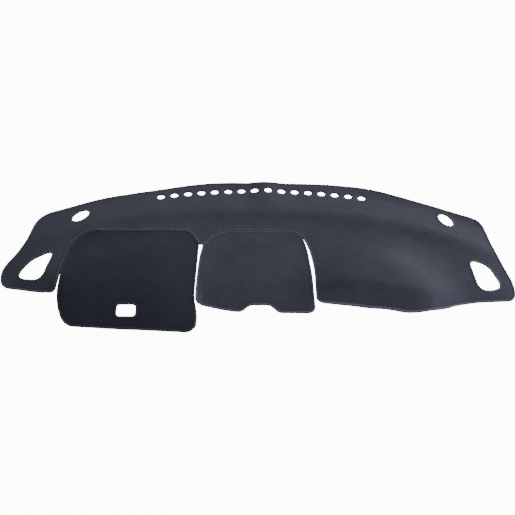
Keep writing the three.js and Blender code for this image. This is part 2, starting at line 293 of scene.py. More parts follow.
def edge_through(corners: list[Corner], step: float = EDGE_STEP) -> Array:
    """The points of an edge through corners, each turned as a quadratic curve, with straights filled in.

    Args:
        corners: The corners (x, y, trim), the last one joined to the first.
        step: Longest stretch between two points.

    Returns:
        The points, one row each.
    """
    anchors = []
    for i, (x, y, trim) in enumerate(corners):
        corner = np.array([x, y], float)
        if trim == 0:
            anchors.append(corner[None])
            continue
        before = np.array(corners[i - 1][:2], float) - corner
        after = np.array(corners[(i + 1) % len(corners)][:2], float) - corner
        lengths = np.linalg.norm(before), np.linalg.norm(after)
        fitted = min(trim, LONGEST_TRIM * lengths[0], LONGEST_TRIM * lengths[1])
        start = corner + before * fitted / lengths[0]
        end = corner + after * fitted / lengths[1]
        t = np.linspace(0, 1, max(5, math.ceil(2 * fitted / step) + 1))[:, None]
        anchors.append((1 - t) ** 2 * start + 2 * t * (1 - t) * corner + t**2 * end)
    return fill_in(np.concatenate(anchors), step)


def fill_in(points: Array, step: float) -> Array:
    """A closed edge with its long stretches cut up so that none is longer than step."""
    filled = []
    for a, b in zip(points, np.roll(points, -1, axis=0)):
        pieces = max(1, math.ceil(np.linalg.norm(b - a) / step))
        filled.append(a + (b - a) * np.arange(pieces)[:, None] / pieces)
    return np.concatenate(filled)


def ellipse(x: float, y: float, long: float, short: float, turn: float, sides: int) -> Array:
    """An ellipse whose long half axis is turned by turn degrees from the x axis."""
    t = np.arange(sides) * 2 * math.pi / sides
    c, s = math.cos(math.radians(turn)), math.sin(math.radians(turn))
    u, v = long * np.cos(t), short * np.sin(t)
    return np.stack([x + u * c - v * s, y + u * s + v * c], axis=1)


def signed_area(points: Array) -> float:
    """Area of a closed edge, above 0 where it runs anticlockwise."""
    after = np.roll(points, -1, axis=0)
    return 0.5 * float(np.sum(points[:, 0] * after[:, 1] - after[:, 0] * points[:, 1]))


def pushed(points: Array, into: Array, out: Array, distance: float) -> Array:
    """Points of a path moved to its left, given the unit ways into and out of each."""
    left_in = np.stack([-into[:, 1], into[:, 0]], axis=1)
    left_out = np.stack([-out[:, 1], out[:, 0]], axis=1)
    miter = left_in + left_out
    miter /= np.linalg.norm(miter, axis=1, keepdims=True)
    share = np.maximum(LEAST_MITER, np.sum(miter * left_out, axis=1))
    return points + miter * distance / share[:, None]


def inset(points: Array, distance: float) -> Array:
    """A closed edge moved parallel to itself into what it encloses."""
    if signed_area(points) < 0:
        distance = -distance
    into = points - np.roll(points, 1, axis=0)
    into /= np.linalg.norm(into, axis=1, keepdims=True)
    return pushed(points, into, np.roll(into, -1, axis=0), distance)


def inside(points: Array, edge: Array) -> Array:
    """Which points lie inside a closed edge."""
    x, y = points[:, 0], points[:, 1]
    hits = np.zeros(len(points), int)
    for (x0, y0), (x1, y1) in zip(edge, np.roll(edge, -1, axis=0)):
        if y0 != y1:
            crosses = (y0 > y) != (y1 > y)
            hits += crosses & (x < (x1 - x0) * (y - y0) / (y1 - y0) + x0)
    return hits % 2 == 1


def nearest(points: Array, edge: Array, reach: float) -> Array:
    """Distance from each point to the nearest point of an edge, or reach where none is nearer."""
    found = np.full(len(points), reach)
    for place in edge:
        close = np.abs(points - place).max(axis=1) < reach
        found[close] = np.minimum(found[close], np.linalg.norm(points[close] - place, axis=1))
    return found


def lengths_along(points: Array) -> Array:
    """How far along an edge each of its points is, from the first."""
    return np.concatenate([[0], np.cumsum(np.linalg.norm(np.diff(points, axis=0), axis=1))])


def placed(points: Array) -> Array:
    """Points of the pattern, in millimetres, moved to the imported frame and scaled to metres."""
    return (points + np.array(FRAME_SHIFT)) * MM


def shown(name: str, data: bpy.types.ID) -> Piece:
    """A new object in the scene for a mesh, a lamp or a camera."""
    piece = bpy.data.objects.new(name, data)
    bpy.context.scene.collection.objects.link(piece)
    return piece


def mesh_of(name: str, points: Array, faces: list[list[int]]) -> bpy.types.Mesh:
    """A smooth mesh from points in metres and faces."""
    mesh = bpy.data.meshes.new(name)
    mesh.from_pydata(points.tolist(), [], faces)
    mesh.update()
    mesh.polygons.foreach_set("use_smooth", np.ones(len(mesh.polygons), bool))
    return mesh


class Wiring:
    """Adds nodes to a node tree and joins their sockets."""

    def __init__(self, tree: Tree) -> None:
        """Keeps the tree that the nodes go into."""
        self.tree = tree

    def add(self, kind: str, inputs: dict | None = None, **settings: object) -> bpy.types.Node:
        """Adds one node.

        Args:
            kind: The node's type.
            inputs: Values or sockets for its inputs, by name or number.
            settings: Its properties.

        Returns:
            The node.
        """
        node = self.tree.nodes.new(kind)
        for name, value in settings.items():
            setattr(node, name, value)
        for key, value in (inputs or {}).items():
            if isinstance(value, Socket):
                self.tree.links.new(value, node.inputs[key])
            else:
                node.inputs[key].default_value = value
        return node

    def math(self, operation: str, *values: object) -> Socket:
        """The result of a math node on values or sockets."""
        return self.add("ShaderNodeMath", dict(enumerate(values)), operation=operation).outputs[0]

    def noise(self, vector: Socket, scale: object, detail: float, roughness: float = 0.5) -> Socket:
        """A noise pattern."""
        inputs = {"Vector": vector, "Scale": scale, "Detail": detail, "Roughness": roughness}
        return self.add("ShaderNodeTexNoise", inputs).outputs["Fac"]

    def masked(self, shade: Socket, pressed: float, painted_highlight: float = 1.0) -> Socket:
        """A shade times pressed and painted_highlight where the mesh's mask says so: on the felt, darker
        where the punch pressed it; on the tape, painted shade down its outer side and a painted
        highlight on its crest.
        """
        mask = self.add("ShaderNodeAttribute", attribute_name="mask").outputs["Color"]
        parts = self.add("ShaderNodeSeparateColor", {"Color": mask}).outputs
        darker = self.math("MULTIPLY_ADD", parts[0], pressed - 1.0, 1.0)
        lighter = self.math("MULTIPLY_ADD", parts[1], painted_highlight - 1.0, 1.0)
        return self.math("MULTIPLY", self.math("MULTIPLY", shade, darker), lighter)

    def tint(self, colour: Colour, shade: Socket) -> Socket:
        """A colour made darker or lighter by a shade."""
        inputs = {0: colour, "Scale": shade}
        return self.add("ShaderNodeVectorMath", inputs, operation="SCALE").outputs[0]

    def dress(self, inputs: dict) -> None:
        """Ends a material with a principled shader."""
        shader = self.add("ShaderNodeBsdfPrincipled", inputs).outputs[0]
        self.add("ShaderNodeOutputMaterial", {"Surface": shader})

    def lying(self) -> Socket:
        """The turn that lays a copy on the cloth, by the way out stored on the guide's points."""
        name = {"Name": "out"}
        out = self.add("GeometryNodeInputNamedAttribute", name, data_type="FLOAT_VECTOR").outputs[0]
        return self.add("FunctionNodeAlignRotationToVector", {"Vector": out}, axis="Z").outputs[0]

    def set_out(self, points: Socket, copy: Socket, turn: Socket, finish: Socket) -> None:
        """Ends a geometry tree with a smooth copy on each point, made real and given its finish."""
        smooth = self.add("GeometryNodeSetShadeSmooth", {"Geometry": copy}).outputs[0]
        setting = {"Points": points, "Instance": smooth, "Rotation": turn}
        laid = self.add("GeometryNodeInstanceOnPoints", setting).outputs[0]
        real = self.add("GeometryNodeRealizeInstances", {0: laid}).outputs[0]
        look = {"Geometry": real, "Material": finish}
        self.add("NodeGroupOutput", {0: self.add("GeometryNodeSetMaterial", look).outputs[0]})


def bare_material(name: str) -> tuple[Material, Wiring]:
    """A new material with no nodes, and the wiring for its tree."""
    material = bpy.data.materials.new(name)
    material.use_nodes = True
    material.node_tree.nodes.clear()
    return material, Wiring(material.node_tree)


def new_group(name: str, kind: str, inputs: dict[str, str], outputs: dict[str, str]) -> Tree:
    """A node group with named sockets.

    Args:
        name: The group's name.
        kind: The type of tree.
        inputs: Socket types by name.
        outputs: Socket types by name.

    Returns:
        The empty group.
    """
    tree = bpy.data.node_groups.new(name, kind)
    for way, sockets in (("INPUT", inputs), ("OUTPUT", outputs)):
        for socket, socket_type in sockets.items():
            tree.interface.new_socket(socket, in_out=way, socket_type=socket_type)
    return tree


def nap_group() -> Tree:
    """The shader group for short brushed fibres: how light each place is, and how high it stands."""
    name = "Brushed nap"
    if name in bpy.data.node_groups:
        return bpy.data.node_groups[name]
    settings = dict.fromkeys(("Fibre Scale", "Blotch Scale", "Blotch", "Grain"), NUMBER)
    inputs = {"Vector": "NodeSocketVector", **settings}
    tree = new_group(name, "ShaderNodeTree", inputs, {"Shade": NUMBER, "Height": NUMBER})
    wire = Wiring(tree)
    given = wire.add("NodeGroupInput").outputs
    fibre = wire.noise(given["Vector"], given["Fibre Scale"], detail=3.0, roughness=0.65)
    stretch = {"Vector": given["Vector"], "Scale": (0.16, 1.0, 1.0)}
    long_way = wire.add("ShaderNodeMapping", stretch).outputs[0]
    grain = wire.noise(long_way, wire.math("MULTIPLY", given["Fibre Scale"], 0.55), detail=2.0)
    blotch = wire.noise(given["Vector"], given["Blotch Scale"], detail=7.0, roughness=0.68)
    shade = 1.0
    for pattern, amount in ((blotch, "Blotch"), (grain, "Grain"), (fibre, "Grain")):
        centred = wire.math("SUBTRACT", pattern, 0.5)
        shade = wire.math("MULTIPLY_ADD", centred, given[amount], shade)
    height = wire.math("MULTIPLY_ADD", grain, 0.4, fibre)
    wire.add("NodeGroupOutput", {"Shade": shade, "Height": height})
    return tree


@dataclass(frozen=True)
class Nap:
    """How fine and how uneven a brushed surface is."""

    fibre_scale: float
    blotch_scale: float
    blotch: float
    grain: float

    def outputs(self, wire: Wiring) -> bpy.types.NodeOutputs:
        """The shade and the height of the nap in a material."""
        inputs = {
            "Vector": wire.add("ShaderNodeTexCoord").outputs["Object"],
            "Fibre Scale": self.fibre_scale,
            "Blotch Scale": self.blotch_scale,
            "Blotch": self.blotch,
            "Grain": self.grain,
        }
        return wire.add("ShaderNodeGroup", inputs, node_tree=nap_group()).outputs


@dataclass(frozen=True)
class FeltFinish:
    """Charcoal needle felt with a short brushed nap."""

    name: str = "Charcoal felt"
    colour: Colour = (0.0435, 0.046, 0.0645)
    pressed: float = 0.45
    roughness: float = 0.95
    sheen: float = 0.12
    nap: Nap = Nap(fibre_scale=900.0, blotch_scale=16.0, blotch=0.6, grain=0.8)

    def material(self) -> Material:
        """The finish as a material, darker where the mask says that the felt is pressed."""
        material, wire = bare_material(self.name)
        nap = self.nap.outputs(wire)
        fuzz = {"Strength": 0.5, "Distance": 0.0005, "Height": nap["Height"]}
        wire.dress(
            {
                "Base Color": wire.tint(self.colour, wire.masked(nap["Shade"], self.pressed)),
                "Normal": wire.add("ShaderNodeBump", fuzz).outputs[0],
                "Roughness": self.roughness,
                "Specular IOR Level": 0.15,
                "Sheen Weight": self.sheen,
                "Sheen Roughness": 0.5,
                "Sheen Tint": (0.72, 0.76, 0.9, 1.0),
            }
        )
        return material


@dataclass(frozen=True)
class TapeFinish:
    """Woven polyester tape, with a painted highlight along its crest and painted shade down its outer
    side.
    """

    name: str = "Edge tape"
    colour: Colour = (0.05, 0.0535, 0.074)
    # Painted highlight: how much lighter the tape is along its crest.
    crest: float = 2.1
    # Painted shade: how much darker the tape is down its outer side.
    side: float = 0.35
    roughness: float = 0.8
    twill_turn: float = 58.0
    nap: Nap = Nap(fibre_scale=1400.0, blotch_scale=40.0, blotch=0.5, grain=0.35)

    def material(self) -> Material:
        """The finish as a material; the mesh's own map gives the way along the tape and across it."""
        material, wire = bare_material(self.name)
        nap = self.nap.outputs(wire)
        tape_map = wire.add("ShaderNodeUVMap", uv_map="tape").outputs[0]
        turn = {"Vector": tape_map, "Rotation": (0, 0, math.radians(self.twill_turn))}
        twill_way = wire.add("ShaderNodeMapping", turn).outputs[0]
        lines = {"Vector": twill_way, "Scale": 420.0, "Distortion": 1.2, "Detail": 1.0}
        twill = wire.add("ShaderNodeTexWave", lines).outputs["Fac"]
        # The mask darkens the outer side (painted shade) and lightens the crest (painted highlight).
        shade = wire.masked(nap["Shade"], self.side, self.crest)
        shade = wire.math("MULTIPLY", shade, wire.math("MULTIPLY_ADD", twill, 0.3, 0.85))
        relief = wire.math("MULTIPLY_ADD", twill, 0.8, nap["Height"])
        weave = {"Strength": 0.6, "Distance": 0.0003, "Height": relief}
        wire.dress(
            {
                "Base Color": wire.tint(self.colour, shade),
                "Normal": wire.add("ShaderNodeBump", weave).outputs[0],
                "Roughness": self.roughness,
                "Specular IOR Level": 0.3,
            }
        )
        return material


@dataclass(frozen=True)
class ThreadFinish:
    """Twisted polyester sewing thread."""

    name: str
    colour: Colour
    roughness: float = 0.6
    nap: Nap = Nap(fibre_scale=2500.0, blotch_scale=120.0, blotch=0.8, grain=0.4)

    def material(self) -> Material:
        """The finish as a material."""
        material, wire = bare_material(self.name)
        tone = wire.tint(self.colour, self.nap.outputs(wire)["Shade"])
        wire.dress({"Base Color": tone, "Roughness": self.roughness, "Specular IOR Level": 0.3})
        return material


def dressed(mesh: bpy.types.Mesh, pressed: Array, painted_highlight: Array, finish: Material) -> Piece:
    """An object for a mesh of cloth.

    Args:
        mesh: The mesh, whose name the object takes.
        pressed: How far each point is darkened, from 0 to 1: where the punch pressed the felt, and
            painted shade down the tape's outer side.
        painted_highlight: How strong the painted highlight is at each point, from 0 to 1.
        finish: The material; it reads both as the mask.

    Returns:
        The object.
    """
    layer = mesh.attributes.new("mask", "FLOAT_COLOR", "POINT")
    values = np.stack([pressed, painted_highlight, np.zeros_like(pressed), np.ones_like(pressed)], axis=1)
    layer.data.foreach_set("color", values.astype(np.float32).ravel())
    mesh.materials.append(finish)
    return shown(mesh.name, mesh)


@dataclass
class FeltPanel:
    """One panel of moulded felt, cut to its outline and holes."""

    node: str
    edge: Array
    flat: tuple[float, float]
    area: float
    bound_holes: list[Array] = field(default_factory=list)
    vents: list[Array] = field(default_factory=list)
    grid: float = 5.0
    row_pitch: float = 0.87
    ring_gap: float = 4.0
    vent_ring_gaps: tuple[float, ...] = (1.2, 2.6, 4.6)
    clearance: float = 3.6
    press_reach: float = 3.0

    def loops(self) -> list[Array]:
        """The cut edges of the felt, the outline first."""
        holes = [inset(hole, -COVER) for hole in self.bound_holes]
        return [inset(self.edge, COVER), *holes, *self.vents]

    def rings(self) -> list[Array]:
        """Rows of points that follow the cut edges, so that the felt is fine beside them."""
        near = [inset(self.edge, COVER + self.ring_gap)]
        near += [inset(hole, -COVER - self.ring_gap) for hole in self.bound_holes]
        for vent in self.vents:
            near += [inset(vent, -gap) for gap in self.vent_ring_gaps]
        return near

    def flat_mesh(self) -> tuple[Array, Array, list[Array]]:
        """The panel as a flat net of triangles.

        Returns:
            Its points, its triangles and the numbers of the points along each cut edge.
        """
        loops = self.loops()
        low, high = loops[0].min(axis=0), loops[0].max(axis=0)
        rows = np.arange(low[1], high[1], self.grid * self.row_pitch)
        columns = np.arange(low[0], high[0], self.grid)
        field_x, field_y = np.meshgrid(columns, rows)
        field_x[1::2] += self.grid / 2
        spots = np.stack([field_x.ravel(), field_y.ravel()], axis=1)
        rings = self.rings()
        spots = spots[inside(spots, loops[0])]
        for hole in loops[1:]:
            spots = spots[~inside(spots, hole)]
        spots = spots[nearest(spots, np.concatenate(loops + rings), self.clearance) >= self.clearance]
        border = np.concatenate(loops)
        starts = np.cumsum([0] + [len(loop) for loop in loops])
        cuts = [np.arange(a, b) for a, b in zip(starts[:-1], starts[1:])]
        areas = [cut.tolist() if signed_area(border[cut]) > 0 else cut[::-1].tolist() for cut in cuts]
        points = np.concatenate([border, *rings, spots])
        net = delaunay_2d_cdt(points.tolist(), [], areas, 0, MERGE_DISTANCE, True)
        found, _, faces, sources, _, owners = net
        kept = [face for face, owner in zip(faces, owners) if list(owner) == [0]]
        number = {given: i for i, group in enumerate(sources) for given in group}
        cuts = [np.array([number[given] for given in cut.tolist()]) for cut in cuts]
        made = zip(found, sources)
        points = np.array([points[group[0]] if group else tuple(place) for place, group in made])
        triangles = np.array(kept)
        a, b, c = (points[triangles[:, i]] for i in range(3))
        turned = (b[:, 0] - a[:, 0]) * (c[:, 1] - a[:, 1]) < (c[:, 0] - a[:, 0]) * (b[:, 1] - a[:, 1])
        triangles[turned] = triangles[turned][:, ::-1]
        return points, triangles, cuts

    def press(self, points: Array) -> Array:
        """How far the punch has pressed the felt down beside the vents, from 0 to 1."""
        pressed = np.zeros(len(points))
        for vent in self.vents:
            away = np.linalg.norm(points - vent.mean(axis=0), axis=1) - VENT_RADIUS
            pressed = np.maximum(pressed, np.exp(-((np.maximum(away, 0) / self.press_reach) ** 2)))
        return pressed

    def build(self, relief: Relief, finish: Material) -> Piece:
        """Makes the panel and dresses it.

        Args:
            relief: The moulded shape.
            finish: The felt's material.

        Returns:
            The panel's object.
        """
        points, triangles, cuts = self.flat_mesh()
        base, normals = relief.surface(points)
        pressed = self.press(points)
        under = base + normals * COVER
        over = base + normals * (COVER + FELT - PRESS_DEPTH * pressed)[:, None]
        count = len(points)
        faces = np.concatenate([triangles, triangles[:, ::-1] + count]).tolist()
        for cut in cuts:
            ring = cut if signed_area(points[cut]) > 0 else cut[::-1]
            if cut is not cuts[0]:
                ring = ring[::-1]
            after = np.roll(ring, -1)
            faces += np.stack([ring + count, after + count, after, ring], axis=1).tolist()
        mesh = mesh_of(f"felt_{self.node}", placed(np.concatenate([over, under])), faces)
        seal = np.concatenate([pressed, pressed]) ** 3
        return dressed(mesh, seal, np.zeros(2 * count), finish)


class Side(Enum):
    """Which side of an edge the cloth lies on."""

    INSIDE = 1
    OUTSIDE = -1


@dataclass
class EdgeBinding:
    """Tape folded over a cut edge of the felt, with a row of stitches near its inner rim."""

    key: str
    edge: Array
    side: Side = Side.INSIDE
    stitch_at: float = 4.3
    rim_height: float = 0.35
    rim_lead: float = 0.25
    rim_run: float = 1.9
    # How far from the edge the painted shade down the outer side reaches.
    side_shade_reach: float = 1.8
    # Where the painted highlight along the crest lies, and how wide it is.
    crest_at: float = 3.4
    crest_reach: float = 1.7

    def profile(self) -> Array:
        """The folded tape cut across: distance from the edge, and height over the felt's middle."""
        felt_top = FELT / 2
        half = felt_top + COVER

        def crown(u: float) -> float:
            """Height of the rounded outer rim."""
            turn = math.pi / 2 * min(1, (u + self.rim_lead) / self.rim_run)
            return half * (self.rim_height + (1 - self.rim_height) * math.sin(turn))

        sunk = ((2.3, 0), (3.1, 0.05), (3.8, 0.25), (4.3, 0.42), (4.9, 0.3), (5.3, 0.35))
        raised = ((4.3, 0.12), (2.4, 0.2), (1.3, 0.1), (TAPE, -0.5))
        top = [(u, crown(u)) for u in (0.12, 0.5, 1.0, 1.6)] + [(u, half - drop) for u, drop in sunk]
        hem = [(TAPE_WIDTH, felt_top + 0.45), (TAPE_WIDTH - 0.12, felt_top + 0.14)]
        inner = [(u, felt_top + rise) for u, rise in raised]
        upper = [(0.0, 0.0), *top, *hem, *inner]
        lower = [(u, -v) for u, v in upper[:0:-1]]
        return np.array([*upper, *lower])

    def at(self, relief: Relief, away: float, lift: float) -> Array:
        """Points along the edge, away from it into the cloth and lifted over the felt's middle."""
        base, normals = relief.surface(inset(self.edge, away * self.side.value))
        return base + normals * (COVER + FELT / 2 + lift)

    def build(self, relief: Relief, finish: Material) -> Piece:
        """Makes the tape and dresses it.

        Args:
            relief: The moulded shape.
            finish: The tape's material.

        Returns:
            The tape's object.
        """
        profile = self.profile()
        rings = np.stack([self.at(relief, u, v) for u, v in profile])
        turns, count = rings.shape[:2]
        index = np.arange(turns * count).reshape(turns, count)
        forward = signed_area(self.edge) * self.side.value > 0
        onward = np.roll(index, -1, axis=1)
        quads = [index, onward, np.roll(onward, -1, axis=0), np.roll(index, -1, axis=0)]
        faces = np.stack(quads if forward else quads[::-1], axis=-1).reshape(-1, 4).tolist()
        mesh = mesh_of(f"tape_{self.key}", placed(rings.reshape(-1, 3)), faces)
        along, across = lengths_along(self.edge) * MM, lengths_along(profile) * MM
        layer = mesh.uv_layers.new(name="tape")
        corners = np.array([loop.vertex_index for loop in mesh.loops])
        places = np.stack([along[corners % count], across[corners // count]], axis=1)
        layer.data.foreach_set("uv", places.ravel())
        u, v = np.repeat(profile[:, 0], count), np.repeat(profile[:, 1], count)
        # Painted shade down the outer side of the tape.
        outer = np.clip(1 - u / self.side_shade_reach, 0, 1)
        # Painted highlight along the crest, on the upper side of the tape only.
        crest = np.exp(-(((u - self.crest_at) / self.crest_reach) ** 2)) * (v > FELT / 2 + FIT)
        return dressed(mesh, outer, crest, finish)


class StitchKind(Enum):
    """How the stitches of a row lie."""

    LOCK = 0.0
    ZIGZAG = 52.0


@dataclass(frozen=True)
class StitchRow:
    """A row of stitches along a path, laid by Geometry Nodes."""

    kind: StitchKind
    pitch: float
    length: float
    radius: float
    jitter: float = 4.0
    seed: int = 11

    @staticmethod
    def tree() -> Tree:
        """The node tree that lays stitches along the edges of a mesh whose points know their way out."""
        name = "Stitch row"
        if name in bpy.data.node_groups:
            return bpy.data.node_groups[name]
        sizes = dict.fromkeys(("Pitch", "Length", "Radius", "Slant", "Jitter"), NUMBER)
        inputs = {"Path": GEOMETRY, **sizes, "Seed": "NodeSocketInt", "Thread": FINISH}
        tree = new_group(name, "GeometryNodeTree", inputs, {"Stitches": GEOMETRY})
        wire = Wiring(tree)
        given = wire.add("NodeGroupInput").outputs
        curve = wire.add("GeometryNodeMeshToCurve", {0: given["Path"]}).outputs[0]
        pitch = {"Curve": curve, "Length": given["Pitch"]}
        spaced = wire.add("GeometryNodeResampleCurve", pitch, mode="LENGTH").outputs[0]
        ball = {"Segments": 7, "Rings": 5, "Radius": 1.0}
        bead = wire.add("GeometryNodeMeshUVSphere", ball).outputs[0]
        half = wire.math("MULTIPLY", given["Length"], 0.5)
        sides = {"X": half, "Y": given["Radius"], "Z": given["Radius"]}
        size = wire.add("ShaderNodeCombineXYZ", sides).outputs[0]
        stitch = wire.add("GeometryNodeTransform", {"Geometry": bead, "Scale": size}).outputs[0]
        aim = {"Rotation": wire.lying(), "Vector": wire.add("GeometryNodeInputTangent").outputs[0]}
        turned = wire.add("FunctionNodeAlignRotationToVector", aim, axis="X", pivot_axis="Z").outputs[0]
        odd = wire.math("MODULO", wire.add("GeometryNodeInputIndex").outputs[0], 2.0)
        slant = wire.math("MULTIPLY", wire.math("MULTIPLY_ADD", odd, 2.0, -1.0), given["Slant"])
        least = wire.math("MULTIPLY", given["Jitter"], -1.0)
        bounds = {2: least, 3: given["Jitter"], "Seed": given["Seed"]}
        stray = wire.add("FunctionNodeRandomValue", bounds).outputs[1]
        about = {"Axis": (0, 0, 1), "Angle": wire.math("ADD", slant, stray)}
        spin = wire.add("FunctionNodeAxisAngleToRotation", about).outputs[0]
        both = {0: turned, 1: spin}
        final = wire.add("FunctionNodeRotateRotation", both, rotation_space="LOCAL").outputs[0]
        wire.set_out(spaced, stitch, final, given["Thread"])
        return tree

    def lay(
        self, name: str, paths: list[Array], outs: list[Array], closed: bool, thread: Material
    ) -> Piece:
        """Lays the row along paths.

        Args:
            name: The piece's name.
            paths: Points along each path, in millimetres.
            outs: The way out of the cloth at each point.
            closed: Whether each path's end joins its start.
            thread: The thread's material.

        Returns:
            The stitches as one plain mesh object.
        """
        points, edges = [], []
        for path in paths:
            start = len(points)
            points.extend(placed(path).tolist())
            last = len(path) if closed else len(path) - 1
            edges.extend((start + i, start + (i + 1) % len(path)) for i in range(last))
        values = {
            "Pitch": self.pitch * MM,
            "Length": self.length * MM,
            "Radius": self.radius * MM,
            "Slant": math.radians(self.kind.value),
            "Jitter": math.radians(self.jitter),
            "Seed": self.seed,
            "Thread": thread,
        }
        return grown(name, points, edges, np.concatenate(outs), self.tree(), values)


def grown(
    name: str, points: list[Corner], edges: list[tuple], outs: Array, tree: Tree, values: dict
) -> Piece:
    """What a geometry tree makes of a guide, as one plain mesh object.

    Args:
        name: The piece's name.
        points: The guide's points, in metres.
        edges: The guide's edges.
        outs: The way out of the cloth at each point.
        tree: The node tree.
        values: Values for the tree's inputs, by name.

    Returns:
        The new object; the guide is removed.
    """
    guide = bpy.data.meshes.new(name + "_guide")
    guide.from_pydata(points, edges, [])
    layer = guide.attributes.new("out", "FLOAT_VECTOR", "POINT")
    layer.data.foreach_set("vector", outs.astype(np.float32).ravel())
    carrier = shown(name + "_guide", guide)
    modifier = carrier.modifiers.new(tree.name, "NODES")
    modifier.node_group = tree
    for item in tree.interface.items_tree:
        if item.item_type == "SOCKET" and item.name in values:
            modifier[item.identifier] = values[item.name]
    graph = bpy.context.evaluated_depsgraph_get()
    mesh = bpy.data.meshes.new_from_object(carrier.evaluated_get(graph), depsgraph=graph)
    mesh.name = name
    bpy.data.objects.remove(carrier)
    return shown(name, mesh)


@dataclass(frozen=True)
class VentRims:
    """The sealed rims that the hot punch leaves round the vents, set out by Geometry Nodes."""

    radius: float = VENT_RADIUS + 0.1
    thickness: float = 0.55
    lift: float = COVER + FELT - PRESS_DEPTH

    @staticmethod
    def tree() -> Tree:
        """The node tree that sets a rim on each point of a mesh."""
        inputs = {"Places": GEOMETRY, "Radius": NUMBER, "Thickness": NUMBER, "Finish": FINISH}
        tree = new_group("Vent rims", "GeometryNodeTree", inputs, {"Rims": GEOMETRY})
        wire = Wiring(tree)
        given = wire.add("NodeGroupInput").outputs
        circle = "GeometryNodeCurvePrimitiveCircle"
        ring, section = (
            wire.add(circle, {"Resolution": sides, "Radius": given[size]}, mode="RADIUS").outputs[0]
            for sides, size in ((VENT_SIDES, "Radius"), (6, "Thickness"))
        )
        rim = wire.add("GeometryNodeCurveToMesh", {"Curve": ring, "Profile Curve": section}).outputs[0]
        wire.set_out(given["Places"], rim, wire.lying(), given["Finish"])
        return tree

    def build(self, relief: Relief, centres: Array, finish: Material) -> Piece:
        """Sets a rim round each vent.

        Args:
            relief: The moulded shape.
            centres: The middles of the vents.
            finish: The rims' material.

        Returns:
            The rims as one plain mesh object.
        """
        base, normals = relief.surface(centres)
        places = placed(base + normals * self.lift).tolist()
        values = {"Radius": self.radius * MM, "Thickness": self.thickness * MM, "Finish": finish}
        return grown("sealed_vent_rims", places, [], normals, self.tree(), values)


